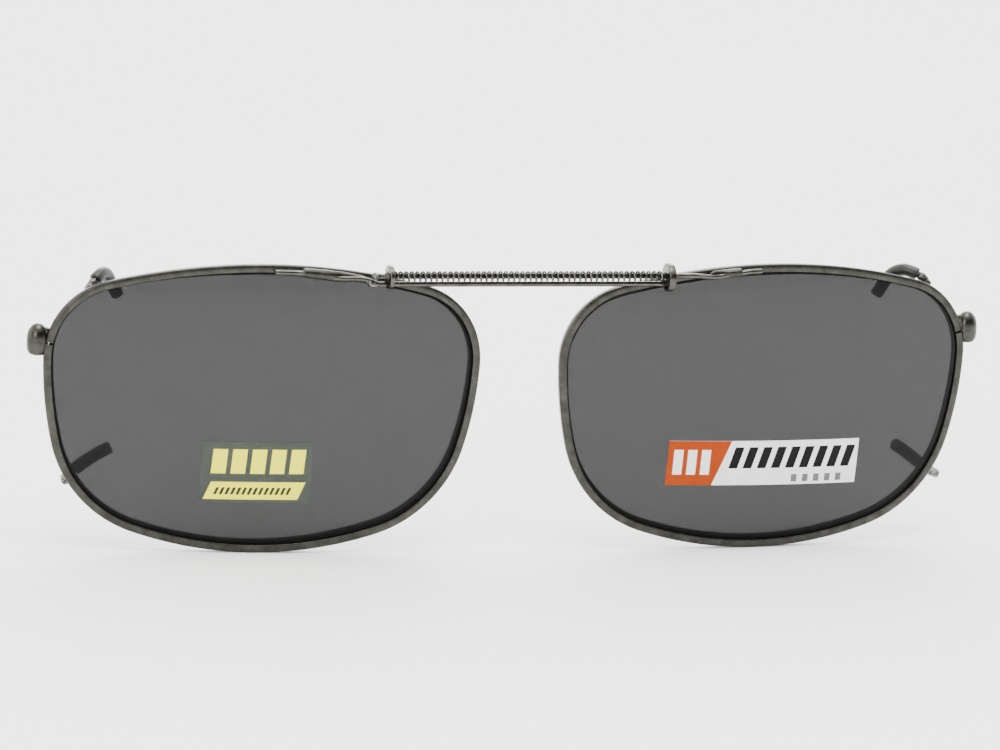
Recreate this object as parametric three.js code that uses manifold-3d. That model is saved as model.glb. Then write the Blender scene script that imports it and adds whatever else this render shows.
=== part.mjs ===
// Clip-on sunglasses: two wrapped rims on a sprung sliding bridge, with four claws that hold spectacles.
// Millimetres. +X is to the right seen from the front, +Z is up, and the front faces -Y.
// The origin is midway between the lenses, in the plane where the claws hold the spectacle lenses.
// Left and right are as seen from the front. Lens pieces are drawn for the right, and the left is mirrored.
import * as THREE from "three";
import { mergeVertices } from "three/addons/utils/BufferGeometryUtils.js";
import Module from "manifold-3d";

const wasm = await Module();
wasm.setup();

// ---- driving dimensions ----

const LENS_X = 34.1; // lens box centre from the middle of the bridge
const LENS_FRONT_Y = -6.5; // middle of the lens thickness at the box centre
const WRAP_DEG = 4; // each lens turns this far back towards its temple
const BASE_RADIUS = 130; // base-4 lens curve

// Half of the rim's outer edge, clockwise from the top centre; a closing arc ends it at the bottom centre.
const OUTLINE_ARCS = [
  { radius: 78, turnDeg: 15.5 }, // brow
  { radius: 10.5, turnDeg: 76.25 }, // upper corner
  { radius: 48.5, turnDeg: 13 }, // side
  { radius: 16.4, turnDeg: 58 }, // lower corner
];
const OUTLINE_STEPS = 66;

const RIM = { width: 1.05, depth: 1.5, bevel: 0.25, grooveWidth: 0.92, grooveDepth: 0.55, slit: 0.3 };
const LENS = { thickness: 0.8, inset: 0.57, rings: [0.4, 0.75, 0.95, 1] };

const BLOCK = { u: 29.35, d: 0.2, radius: 1.36, height: 4, splitDrop: 0.25, split: 0.12 };
// How the block narrows above and below its middle: to nothing at this height, by this power of it.
const BLOCK_CROWN = { height: 2.06, power: 2.2 };
const BLOCK_BASE = { height: 2.3, power: 4 };
const SCREW = { shankRadius: 0.45, headRadius: 0.62, headHeight: 0.5, reach: 3.1 };
const SLOT = { width: 0.22, depth: 0.25 };

const ROD = { radius: 0.35, sides: 12, upperY: -8.1, upperZ: 18.13, lowerY: -7.8, lowerZ: 17.02 };
const ARM = { drop: 0.86, standOff: 0.06 };
const UPPER_STUB_X = -21.3; // free end of the upper wire, past the left end plate
const LOWER_END_X = 19.35; // riveted end of the lower wire, past the right end plate

const LEFT_PLATE = { x: -19, radius: 1.55, thickness: 0.6, y: -8.06, z: 18.02 };
const RIGHT_PLATE = { x: 18.58, radius: 1.85, thickness: 0.9, y: -8.35, z: 18 };
const SPRING = { coils: 49, meanRadius: 0.56, wireRadius: 0.14, stepsPerCoil: 7, sides: 4 };

const CLAW = { radius: 0.48, sides: 8, stepsPerKnot: 3 };
const SLEEVE = { radius: 0.8, sides: 10, endWall: 0.45 };

// The soldered pieces are set by hand, so each side has its own places for them, in its lens's frame (u, w).
// A claw starts at its root on the rim. Its other knots step from its foot, and lean further towards its tip.
const SIDES = {
  left: {
    blockW: 8.15,
    upperClaw: { root: [23.15, 14.78], foot: [23.15, 14.78], lean: [0.8, 0.42] },
    lowerClaw: { root: [24.5, -10.4], foot: [24.7, -10.7], lean: [0.2, 0] },
    armTipU: -0.25,
    armDrop: 0.05,
  },
  right: {
    blockW: 9.35,
    upperClaw: { root: [23.5, 15.2], foot: [23.55, 15.5], lean: [-0.8, -0.33] },
    lowerClaw: { root: [25.1, -10], foot: [27.1, -10.95], lean: [0.7, -0.35] },
    armTipU: -2.25,
    armDrop: -0.05,
  },
};
const FIT = 0.06; // clearance between fitted pieces

const STICKER = { thickness: 0.08, lift: 0.05 };

// ---- materials ----

const gunmetal = new THREE.MeshStandardMaterial({ color: 0x6f6f63, roughness: 0.35, metalness: 0.9 });
const brightMetal = new THREE.MeshStandardMaterial({ color: 0xa9a79a, roughness: 0.25, metalness: 0.95 });
const springSteel = new THREE.MeshStandardMaterial({ color: 0x8a8a80, roughness: 0.3, metalness: 0.95 });
const smokeLens = new THREE.MeshStandardMaterial({
  color: 0x3c3c3c,
  roughness: 0.08,
  metalness: 0,
  transparent: true,
  opacity: 0.8,
});
const blackVinyl = new THREE.MeshStandardMaterial({ color: 0x26292a, roughness: 0.5, metalness: 0 });
const clearLabel = new THREE.MeshStandardMaterial({ color: 0x7d8a78, roughness: 0.4, metalness: 0 });
const whiteLabel = new THREE.MeshStandardMaterial({ color: 0xf2f2f0, roughness: 0.45, metalness: 0 });

// ---- solids: joins and cuts ----

function toSolid(geometry) {
  const bare = geometry.index ? geometry.toNonIndexed() : geometry.clone();
  bare.deleteAttribute("normal");
  bare.deleteAttribute("uv");
  const merged = mergeVertices(bare, 1e-4);
  return new wasm.Manifold(
    new wasm.Mesh({
      numProp: 3,
      vertProperties: merged.attributes.position.array,
      triVerts: new Uint32Array(merged.index.array),
    }),
  );
}

function toGeometry(solid) {
  const mesh = solid.getMesh();
  const geometry = new THREE.BufferGeometry();
  geometry.setAttribute("position", new THREE.BufferAttribute(new Float32Array(mesh.vertProperties), 3));
  geometry.setIndex(new THREE.BufferAttribute(new Uint32Array(mesh.triVerts), 1));
  return geometry;
}

function cut(body, ...tools) {
  return toGeometry(tools.reduce((solid, tool) => solid.subtract(toSolid(tool)), toSolid(body)));
}

// ---- the lens frame: u towards the temple, d back towards the wearer, w up ----

// Lays a flat piece, drawn with x = u, y = d and z = w, on the lens's sphere.
function formPoint(point) {
  const shell = BASE_RADIUS - point.y;
  const fall = Math.sqrt(1 - (point.x ** 2 + point.z ** 2) / BASE_RADIUS ** 2);
  const spread = shell / BASE_RADIUS;
  return new THREE.Vector3(point.x * spread, BASE_RADIUS - shell * fall, point.z * spread);
}

function form(geometry) {
  const position = geometry.attributes.position;
  const vertex = new THREE.Vector3();
  for (let i = 0; i < position.count; i += 1) {
    vertex.fromBufferAttribute(position, i);
    position.setXYZ(i, ...formPoint(vertex));
  }
  return geometry;
}

// A point of the right lens's frame in the part's frame.
function rightLensPoint(u, d, w) {
  return formPoint(new THREE.Vector3(u, d, w))
    .applyAxisAngle(new THREE.Vector3(0, 0, 1), THREE.MathUtils.degToRad(WRAP_DEG))
    .add(new THREE.Vector3(LENS_X, LENS_FRONT_Y, 0));
}

// ---- the rim's outline ----

// The outer edge as one closed path of arcs, clockwise from the top centre, its box centred on the origin.
function outlinePath() {
  const half = [];
  let heading = 0;
  let x = 0;
  let z = 0;
  const step = (radius, turn) => {
    const from = heading;
    heading += turn;
    const cx = x - radius * Math.sin(from);
    const cz = z - radius * Math.cos(from);
    half.push({ radius, from, to: heading, cx, cz });
    x += radius * (Math.sin(heading) - Math.sin(from));
    z += radius * (Math.cos(heading) - Math.cos(from));
  };
  OUTLINE_ARCS.forEach((arc) => step(arc.radius, THREE.MathUtils.degToRad(arc.turnDeg)));
  step(x / Math.sin(heading), Math.PI - heading);
  const rise = -z / 2;
  const path = new THREE.Path();
  // A heading h from +x, turning clockwise, is at the angle 90 - h degrees on its arc.
  const arcs = half.map((a) => [a.cx, a.cz + rise, a.radius, Math.PI / 2 - a.from, Math.PI / 2 - a.to, true]);
  const mirrored = half
    .map((a) => [-a.cx, a.cz + rise, a.radius, Math.PI / 2 + a.to, Math.PI / 2 + a.from, true])
    .reverse();
  [...arcs, ...mirrored].forEach((arc) => path.absarc(...arc));
  return path;
}

const outline = outlinePath();
const outlineLength = outline.getLength();

// The share of the outline at which it passes the height w on the temple side, above the widest point.
function shareAtHeight(w) {
  let low = 0;
  let high = 0.25;
  for (let i = 0; i < 40; i += 1) {
    const middle = (low + high) / 2;
    if (outline.getPoint(middle).y > w) low = middle;
    else high = middle;
  }
  return low;
}

// A stretch of the outline as a curve in the lens frame, from one share of its length to another.
class OutlineStretch extends THREE.Curve {
  constructor(from, to) {
    super();
    this.from = from;
    this.to = to;
  }

  getPoint(t) {
    const share = this.from + (this.to - this.from) * t;
    const point = outline.getPoint(share % 1);
    return new THREE.Vector3(point.x, 0, point.y);
  }
}

const splitHeight = (side) => SIDES[side].blockW - BLOCK.splitDrop;

// The rim's run, from above the slit all the way round to below it.
function rimRail(side) {
  const slitShare = shareAtHeight(splitHeight(side));
  const halfSlit = RIM.slit / 2 / outlineLength;
  return new OutlineStretch(slitShare + halfSlit, slitShare + 1 - halfSlit);
}

// ---- pieces along a curve ----

function circle(radius, sides) {
  const points = [];
  for (let i = 0; i < sides; i += 1) {
    const angle = ((i + 0.5) * 2 * Math.PI) / sides;
    points.push(new THREE.Vector2(radius * Math.cos(angle), radius * Math.sin(angle)));
  }
  return new THREE.Shape(points);
}

function sweep(shape, curve, steps) {
  return new THREE.ExtrudeGeometry(shape, { steps, extrudePath: curve, bevelEnabled: false });
}

// A smooth wire through its knots, sampled evenly between knots, so that a straight stretch costs few faces.
// It can be taken from one share to another; past 1 it runs straight on, by tail for a whole share.
class WireCurve extends THREE.CatmullRomCurve3 {
  constructor(knots, from = 0, to = 1, tail = 0) {
    super(knots, false, "centripetal");
    this.from = from;
    this.to = to;
    this.tail = tail;
  }

  getPoint(t, target = new THREE.Vector3()) {
    const share = this.from + (this.to - this.from) * t;
    if (share <= 1) return super.getPoint(share, target);
    const [before, end] = this.points.slice(-2);
    return target.subVectors(end, before).setLength((share - 1) * this.tail).add(end);
  }

  getUtoTmapping(u) {
    return u;
  }
}

// ---- rim and lens ----

// The rim's section: x is the depth, y runs from the outer edge (0) in towards the lens.
function rimShape() {
  const half = RIM.depth / 2;
  const groove = RIM.grooveWidth / 2;
  const floor = RIM.width - RIM.grooveDepth;
  const right = [
    [half - RIM.bevel, 0],
    [half, RIM.bevel],
    [half, RIM.width],
    [groove, RIM.width],
    [groove, floor],
  ];
  const left = right.map(([x, y]) => [-x, y]).reverse();
  return new THREE.Shape([...right, ...left].map(([x, y]) => new THREE.Vector2(x, y)));
}

function rimGeometry(side) {
  return form(sweep(rimShape(), rimRail(side), OUTLINE_STEPS));
}

// The lens is a lathe disc of unit radius whose circles are stretched to the outline, set in from its edge.
function lensGeometry(side) {
  const rail = rimRail(side);
  const half = LENS.thickness / 2;
  const front = [new THREE.Vector2(0, -half), ...LENS.rings.map((r) => new THREE.Vector2(r, -half))];
  const back = front.map((p) => new THREE.Vector2(p.x, half)).reverse();
  const profile = [...front, ...back];
  const edge = rail.getSpacedPoints(OUTLINE_STEPS).map((point, i) => {
    const along = rail.getTangentAt(i / OUTLINE_STEPS);
    return new THREE.Vector2(point.x + along.z * LENS.inset, point.z - along.x * LENS.inset);
  });
  const disc = new THREE.LatheGeometry(profile, edge.length);
  const position = disc.attributes.position;
  for (let i = 0; i < position.count; i += 1) {
    const rim = edge[Math.floor(i / profile.length) % edge.length];
    const share = profile[i % profile.length];
    position.setXYZ(i, rim.x * share.x, share.y, rim.y * share.x);
  }
  return form(disc);
}

// ---- closing block: two halves of a barrel beside the slit, drawn together by a screw from below ----

// A round bar along w, centred on the block, from one height to another.
function bar(radius, low, high) {
  const profile = [[0, low], [radius, low], [radius, high], [0, high]];
  return new THREE.LatheGeometry(profile.map(([r, h]) => new THREE.Vector2(r, h)), 12).rotateX(Math.PI / 2);
}

// The block's bulging shape between two of its heights.
function bulge(low, high) {
  const steps = 7;
  const profile = [new THREE.Vector2(0, low)];
  for (let i = 0; i <= steps; i += 1) {
    const h = low + ((high - low) * i) / steps;
    const end = h > 0 ? BLOCK_CROWN : BLOCK_BASE;
    profile.push(new THREE.Vector2(BLOCK.radius * Math.sqrt(1 - Math.abs(h / end.height) ** end.power), h));
  }
  profile.push(new THREE.Vector2(0, high));
  return new THREE.LatheGeometry(profile, 20).rotateX(Math.PI / 2);
}

const placeBlock = (geometry, side) => form(geometry.translate(BLOCK.u, BLOCK.d, SIDES[side].blockW));

// The space that the rim takes beside the block, with its fitting clearance, in the block's own place.
function rimRoom(side) {
  const half = RIM.depth / 2 + FIT;
  const past = 3;
  const room = new THREE.Shape([
    new THREE.Vector2(half, -FIT),
    new THREE.Vector2(half, past),
    new THREE.Vector2(-half, past),
    new THREE.Vector2(-half, -FIT),
  ]);
  const middle = shareAtHeight(splitHeight(side));
  const reach = BLOCK.height / outlineLength;
  const rail = new OutlineStretch(middle - reach, middle + reach);
  return sweep(room, rail, 12).translate(-BLOCK.u, -BLOCK.d, -SIDES[side].blockW);
}

function upperBlockGeometry(side) {
  const top = BLOCK.height / 2;
  const foot = BLOCK.split / 2 - BLOCK.splitDrop;
  const bore = bar(SCREW.shankRadius + FIT, foot - 1, SCREW.reach - top + FIT);
  return placeBlock(cut(bulge(foot, top), rimRoom(side), bore), side);
}

function lowerBlockGeometry(side) {
  const bottom = -BLOCK.height / 2;
  const head = -BLOCK.split / 2 - BLOCK.splitDrop;
  const bore = bar(SCREW.shankRadius + FIT, bottom - 1, head + 1);
  const sink = bar(SCREW.headRadius + FIT, bottom - 1, bottom + SCREW.headHeight + FIT);
  return placeBlock(cut(bulge(bottom, head), rimRoom(side), bore, sink), side);
}

// The screw stands on its slotted head, flush with the block's foot.
function screwGeometry(side) {
  const bottom = -BLOCK.height / 2;
  const profile = [
    [0, bottom],
    [SCREW.headRadius, bottom],
    [SCREW.headRadius, bottom + SCREW.headHeight],
    [SCREW.shankRadius, bottom + SCREW.headHeight],
    [SCREW.shankRadius, bottom + SCREW.reach],
    [0, bottom + SCREW.reach],
  ].map(([r, h]) => new THREE.Vector2(r, h));
  const screw = new THREE.LatheGeometry(profile, 12).rotateX(Math.PI / 2);
  const slot = new THREE.BoxGeometry(2 * BLOCK.radius, SLOT.width, 2 * SLOT.depth);
  return placeBlock(cut(screw, slot.translate(0, 0, bottom)), side);
}

// ---- bridge: two wires that slide past each other, each through the plate that the other one carries ----

// A knot of the wire's stretch along the front of the right brow, drop below the rim's outer edge.
function browKnot(u, drop) {
  const brow = OUTLINE_ARCS[0].radius;
  const edge = outline.getPoint(0).y - brow + Math.sqrt(brow ** 2 - u ** 2);
  const standOff = -(RIM.depth / 2 + ARM.standOff + ROD.radius);
  return rightLensPoint(u, standOff, edge - drop);
}

// The knots of an arm, from the first that meets the brow to its squared tip.
function armKnots(side) {
  const { armTipU, armDrop } = SIDES[side];
  const drop = ARM.drop + armDrop;
  const bent = [browKnot(-8.7, drop + 0.22), browKnot(-6, drop + 0.14)];
  return [...bent, browKnot(-3.8, drop), browKnot(armTipU, drop)];
}

function wireGeometry(knots) {
  return sweep(circle(ROD.radius, ROD.sides), new WireCurve(knots), 3 * (knots.length - 1));
}

// The upper wire: soldered to the right brow, then straight through the spring to the left end plate.
function upperWireGeometry() {
  const along = [UPPER_STUB_X, 0, 17.5, 20.5, 22];
  const straight = along.map((x) => new THREE.Vector3(x, ROD.upperY, ROD.upperZ));
  return wireGeometry([...straight, ...armKnots("right")]);
}

// The lower wire: soldered to the left brow, with a jog down to its straight stretch.
function lowerWireGeometry() {
  const along = [LOWER_END_X, 0, -17, -19.3, -20.4];
  const straight = along.map((x) => new THREE.Vector3(x, ROD.lowerY, ROD.lowerZ));
  const jog = new THREE.Vector3(-22.3, ROD.lowerY + 0.35, ROD.lowerZ + 0.58);
  const arm = armKnots("left").map((point) => new THREE.Vector3(-point.x, point.y, point.z));
  return wireGeometry([...straight, jog, ...arm]);
}

// A disc across the wires with a hole for each of them.
function endPlateGeometry(plate) {
  const disc = new THREE.Shape(circle(plate.radius, 28).getPoints());
  const hole = (y, z) => {
    const points = circle(ROD.radius + FIT, 16).getPoints();
    return new THREE.Path(points.map((p) => new THREE.Vector2(p.x + y - plate.y, p.y + z - plate.z)));
  };
  disc.holes.push(hole(ROD.upperY, ROD.upperZ), hole(ROD.lowerY, ROD.lowerZ));
  const flat = new THREE.ExtrudeGeometry(disc, { depth: plate.thickness, bevelEnabled: false });
  // The shape's x is the part's y, its y is z, and its depth runs along x.
  const axes = new THREE.Matrix4().makeBasis(
    new THREE.Vector3(0, 1, 0),
    new THREE.Vector3(0, 0, 1),
    new THREE.Vector3(1, 0, 0),
  );
  return flat.applyMatrix4(axes).translate(plate.x - plate.thickness / 2, plate.y, plate.z);
}

// The spring's wire as a helix around the upper wire, from one end plate to the other.
class Helix extends THREE.Curve {
  constructor(from, to) {
    super();
    this.from = from;
    this.to = to;
  }

  getPoint(t) {
    const angle = t * SPRING.coils * 2 * Math.PI;
    const x = this.from + (this.to - this.from) * t;
    const y = ROD.upperY + SPRING.meanRadius * Math.cos(angle);
    return new THREE.Vector3(x, y, ROD.upperZ + SPRING.meanRadius * Math.sin(angle));
  }

  getUtoTmapping(u) {
    return u;
  }
}

function springGeometry() {
  const clear = SPRING.wireRadius + FIT;
  const from = LEFT_PLATE.x + LEFT_PLATE.thickness / 2 + clear;
  const to = RIGHT_PLATE.x - RIGHT_PLATE.thickness / 2 - clear;
  const steps = SPRING.coils * SPRING.stepsPerCoil;
  return sweep(circle(SPRING.wireRadius, SPRING.sides), new Helix(from, to), steps);
}

// ---- claws: hooked wires round the edge of the spectacle lens, with a vinyl sleeve on each end ----

// Knots are steps in u and w from the claw's foot, with their depth d; the first stands at the claw's root.
const UPPER_CLAW = {
  place: "upperClaw",
  knots: [
    [0, 1.3, 0],
    [-0.5, 1.5, 0.66],
    [-1.2, 2.1, 1.32],
    [-2.05, 3.2, 1.78],
    [-2.8, 4.3, 1.4],
    [-3.4, 5, 0.43],
    [-4.5, 5.2, -1.27],
  ],
  sleeveSteps: 12,
};
const LOWER_CLAW = {
  place: "lowerClaw",
  knots: [
    [0, 1.25, 0],
    [0.25, 1.75, -0.05],
    [-0.3, 2.9, 0.3],
    [-1.5, 3.8, 1.15],
    [-2.8, 4.2, 2.1],
    [-4.1, 4.3, 3],
    [-5.35, 4.3, 3.75],
  ],
  sleeveSteps: 10,
};

function knotsOf(claw, side) {
  const { root, foot, lean } = SIDES[side][claw.place];
  return claw.knots.map(([u, d, w], i) => {
    if (i === 0) return new THREE.Vector3(root[0], d, root[1]);
    const share = i / (claw.knots.length - 1);
    return new THREE.Vector3(foot[0] + u + lean[0] * share, d, foot[1] + w + lean[1] * share);
  });
}

const CLAW_STEPS = CLAW.stepsPerKnot * (UPPER_CLAW.knots.length - 1);

function clawGeometry(claw, side) {
  return form(sweep(circle(CLAW.radius, CLAW.sides), new WireCurve(knotsOf(claw, side)), CLAW_STEPS));
}

// A blind tube on the claw's last sleeveSteps steps, which passes the wire's end by its end wall.
function sleeveGeometry(claw, side) {
  const knots = knotsOf(claw, side);
  const from = 1 - claw.sleeveSteps / CLAW_STEPS;
  const step = 1 / CLAW_STEPS;
  const tail = SLEEVE.endWall / step;
  const outerRail = new WireCurve(knots, from, 1 + step, tail);
  const boreRail = new WireCurve(knots, from - step, 1 + FIT / tail, tail);
  const outer = sweep(circle(SLEEVE.radius, SLEEVE.sides), outerRail, claw.sleeveSteps + 1);
  const bore = sweep(circle(CLAW.radius + FIT, SLEEVE.sides), boreRail, claw.sleeveSteps + 1);
  return form(cut(outer, bore));
}

// ---- labels stuck on the front of the lenses ----

const CLEAR_STICKER = { u: 0.6, w: -8.1, width: 14.5, height: 8.1, tiltDeg: 0, columns: 6, rows: 3 };
const WHITE_STICKER = { u: 0.05, w: -7.35, width: 26.8, height: 6, tiltDeg: 0.7, columns: 10, rows: 2 };

function stickerGeometry(sticker) {
  const depth = -(LENS.thickness / 2 + STICKER.lift + STICKER.thickness / 2);
  const { width, height, tiltDeg, columns, rows } = sticker;
  const sheet = new THREE.BoxGeometry(width, STICKER.thickness, height, columns, 1, rows);
  sheet.rotateY(THREE.MathUtils.degToRad(tiltDeg));
  return form(sheet.translate(sticker.u, depth, sticker.w));
}

// ---- assembly ----

function piece(name, geometry, material) {
  const mesh = new THREE.Mesh(geometry, material);
  mesh.name = name;
  return mesh;
}

// The pieces of one half that stand in its lens's frame, still drawn for the right side.
function lensHalf(side) {
  const half = new THREE.Group();
  half.add(
    piece(`${side}_rim`, rimGeometry(side), gunmetal),
    piece(`${side}_lens`, lensGeometry(side), smokeLens),
    piece(`${side}_block_upper`, upperBlockGeometry(side), gunmetal),
    piece(`${side}_block_lower`, lowerBlockGeometry(side), gunmetal),
    piece(`${side}_closing_screw`, screwGeometry(side), brightMetal),
    piece(`${side}_upper_claw`, clawGeometry(UPPER_CLAW, side), brightMetal),
    piece(`${side}_upper_claw_sleeve`, sleeveGeometry(UPPER_CLAW, side), blackVinyl),
    piece(`${side}_lower_claw`, clawGeometry(LOWER_CLAW, side), gunmetal),
    piece(`${side}_lower_claw_sleeve`, sleeveGeometry(LOWER_CLAW, side), blackVinyl),
  );
  half.position.set(LENS_X, LENS_FRONT_Y, 0);
  half.rotation.z = THREE.MathUtils.degToRad(WRAP_DEG);
  return half;
}

const rightHalf = lensHalf("right");
rightHalf.add(piece("right_lens_sticker", stickerGeometry(WHITE_STICKER), whiteLabel));

const leftHalf = lensHalf("left");
leftHalf.add(piece("left_lens_sticker", stickerGeometry(CLEAR_STICKER), clearLabel));
const leftSide = new THREE.Group();
leftSide.scale.x = -1;
leftSide.add(leftHalf);

const bridge = new THREE.Group();
bridge.add(
  piece("left_bridge_wire", lowerWireGeometry(), brightMetal),
  piece("right_bridge_wire", upperWireGeometry(), brightMetal),
  piece("left_end_plate", endPlateGeometry(LEFT_PLATE), brightMetal),
  piece("right_end_plate", endPlateGeometry(RIGHT_PLATE), brightMetal),
  piece("bridge_spring", springGeometry(), springSteel),
);

const clipOn = new THREE.Group();
clipOn.name = "clip_on_sunglasses";
clipOn.add(rightHalf, leftSide, bridge);

export default clipOn;
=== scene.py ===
"""The looks of the clip-on sunglasses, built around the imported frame.

Lengths are in millimetres and turn to metres where a mesh is made.
Each lens has its own frame, as in the CAD: u towards the temple, d back towards the wearer, w up.
Left and right are as seen from the front.
"""

import math

import bmesh
import bpy
import numpy as np
from mathutils import Matrix, Vector


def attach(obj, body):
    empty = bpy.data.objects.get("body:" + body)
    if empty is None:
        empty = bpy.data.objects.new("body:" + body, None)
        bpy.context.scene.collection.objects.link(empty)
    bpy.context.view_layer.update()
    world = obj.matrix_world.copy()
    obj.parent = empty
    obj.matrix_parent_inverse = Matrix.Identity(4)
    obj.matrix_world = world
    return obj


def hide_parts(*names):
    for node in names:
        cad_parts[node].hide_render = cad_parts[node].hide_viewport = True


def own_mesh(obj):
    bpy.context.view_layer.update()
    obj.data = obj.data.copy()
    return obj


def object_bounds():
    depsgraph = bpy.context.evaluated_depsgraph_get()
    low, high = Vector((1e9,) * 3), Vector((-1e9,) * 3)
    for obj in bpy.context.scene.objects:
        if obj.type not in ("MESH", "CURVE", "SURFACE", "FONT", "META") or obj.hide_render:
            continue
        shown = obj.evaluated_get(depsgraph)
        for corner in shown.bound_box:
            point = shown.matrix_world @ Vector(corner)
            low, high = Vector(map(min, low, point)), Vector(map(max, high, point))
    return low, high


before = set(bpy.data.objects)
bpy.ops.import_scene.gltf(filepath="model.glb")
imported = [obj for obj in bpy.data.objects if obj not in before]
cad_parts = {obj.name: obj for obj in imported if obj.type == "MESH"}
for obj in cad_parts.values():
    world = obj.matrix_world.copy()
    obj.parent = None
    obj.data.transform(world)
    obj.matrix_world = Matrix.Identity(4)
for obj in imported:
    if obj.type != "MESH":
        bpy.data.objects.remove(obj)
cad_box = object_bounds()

MM = 0.001

# ---- the CAD's driving dimensions ----

LENS_X = 34.1
LENS_FRONT_Y = -6.5
WRAP = math.radians(4)
BASE_RADIUS = 130
OUTLINE_ARCS = [(78, 15.5), (10.5, 76.25), (48.5, 13), (16.4, 58)]  # radius, degrees turned

RIM_WIDTH = 1.05
RIM_DEPTH = 1.5
RIM_SLIT = 0.3
GROOVE_WIDTH = 0.92
GROOVE_DEPTH = 0.55
LENS_THICKNESS = 0.8
LENS_INSET = 0.57

BLOCK_U = 29.35
BLOCK_D = 0.2
BLOCK_RADIUS = 1.36
BLOCK_HALF = 2
BLOCK_CROWN = (2.06, 2.2)  # the height where the block narrows to nothing, and the power of height
BLOCK_BASE = (2.3, 4)
SPLIT_DROP = 0.25
SPLIT_HALF = 0.01
SCREW_BORE = 0.51
SCREW_SINK = 0.68
SINK_DEPTH = 0.56
SCREW_TIP = 1.16
ON_AXIS = 0.001  # a radius small enough to close a turned profile on its axis
NECK_RADIUS = 0.56
NECK_OUT = 0.28  # how far the neck's centre stands outside the rim's outer edge
NECK_SPAN = {"upper": 1.5, "lower": -1.6}  # height of each neck's far end

ROD_RADIUS = 0.35
UPPER_ROD = (-8.1, 18.13)  # y, z
LOWER_ROD = (-7.8, 17.02)
ARM_DROP = 0.86
ARM_STAND_OFF = RIM_DEPTH / 2 + 0.06 + ROD_RADIUS
UPPER_STUB_X = -21.3  # free end of the upper wire
LOWER_END_X = 19.35  # riveted end of the lower wire
ARM_STEPS = 40  # points between two knots of a bridge wire

LEFT_PLATE = {"x": -19, "radius": 1.55, "thickness": 0.6, "y": -8.06, "z": 18.02}
RIGHT_PLATE = {"x": 18.58, "radius": 1.85, "thickness": 0.9, "y": -8.35, "z": 18}
COILS = 49
COIL_RADIUS = 0.55
SPRING_WIRE = 0.155
TURN_STEPS = 22
FIT = 0.06

CLAW_RADIUS = 0.48
SLEEVE_RADIUS = 0.84
SLEEVE_TAIL = 0.45

# Each claw has its root on the rim, its foot and its lean.
# Solder is the span of u that an arm's wedge covers.
# Painted edge shade is the width of the black band painted on the lens's edge, standing for the shade in the
# rim's groove, at even steps round it, clockwise from the top.
SIDES = {
    "left": {
        "block_w": 8.15,
        "upper_claw": ((23.15, 14.78), (23.15, 14.78), (0.8, 0.42)),
        "lower_claw": ((24.5, -10.4), (24.7, -10.7), (0.2, 0)),
        "arm_tip": -0.25,
        "arm_drop": ARM_DROP + 0.05,
        "solder": (-12.6, -3.6),
        "solder_sag": 0.2,
        "bevel": (0.45, 0.1, 0.3, 0.5, 0.6, 0.85, 0.4, 0.35),
    },
    "right": {
        "block_w": 9.35,
        "upper_claw": ((23.5, 15.2), (23.55, 15.5), (-0.8, -0.33)),
        "lower_claw": ((25.1, -10), (27.1, -10.95), (0.7, -0.35)),
        "arm_tip": -2.25,
        "arm_drop": ARM_DROP - 0.05,
        "solder": (-9.6, -4.9),
        "solder_sag": 0,
        "bevel": (0.5, 0.12, 0.3, 0.7, 0.6, 0.55, 0.25, 0.5),
    },
}

UPPER_CLAW = [
    (0, 1.3, 0),
    (-0.5, 1.5, 0.66),
    (-1.2, 2.1, 1.32),
    (-2.05, 3.2, 1.78),
    (-2.8, 4.3, 1.4),
    (-3.4, 5, 0.43),
    (-4.5, 5.2, -1.27),
]
LOWER_CLAW = [
    (0, 1.25, 0),
    (0.25, 1.75, -0.05),
    (-0.3, 2.9, 0.3),
    (-1.5, 3.8, 1.15),
    (-2.8, 4.2, 2.1),
    (-4.1, 4.3, 3),
    (-5.35, 4.3, 3.75),
]
SLEEVED = {"upper_claw": 0.72, "lower_claw": 5 / 9}  # share of the claw's knots under its sleeve

CLEAR_STICKER = {"u": 0.6, "w": -8.1, "width": 14.5, "height": 8.1, "tilt": 0}
WHITE_STICKER = {"u": 0.05, "w": -7.35, "width": 26.8, "height": 6, "tilt": math.radians(0.7)}


# ---- the lens frame ----


def place(points, side):
    """Lays flat points (u, d, w) on the lens's sphere, and puts them in the part's frame."""
    u, d, w = np.asarray(points, float).T
    shell = BASE_RADIUS - d
    fall = np.sqrt(1 - (u**2 + w**2) / BASE_RADIUS**2)
    x = u * shell / BASE_RADIUS
    y = BASE_RADIUS - shell * fall
    z = w * shell / BASE_RADIUS
    px = LENS_X + x * math.cos(WRAP) - y * math.sin(WRAP)
    py = LENS_FRONT_Y + x * math.sin(WRAP) + y * math.cos(WRAP)
    return np.column_stack([-px if side == "left" else px, py, z])


def half_outline():
    """The arcs of half of the outline: radius, first and last heading, centre, length before it."""
    arcs = []
    heading = x = z = length = 0.0

    def add(radius, turn):
        nonlocal heading, x, z, length
        start = heading
        heading += turn
        centre_x = x - radius * math.sin(start)
        centre_z = z - radius * math.cos(start)
        arcs.append((radius, start, centre_x, centre_z, length))
        x += radius * (math.sin(heading) - math.sin(start))
        z += radius * (math.cos(heading) - math.cos(start))
        length += radius * turn

    for radius, degrees in OUTLINE_ARCS:
        add(radius, math.radians(degrees))
    add(x / math.sin(heading), math.pi - heading)
    return arcs, -z / 2, 2 * length


ARCS, OUTLINE_RISE, OUTLINE_LENGTH = half_outline()
HALVINGS = 40


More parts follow.
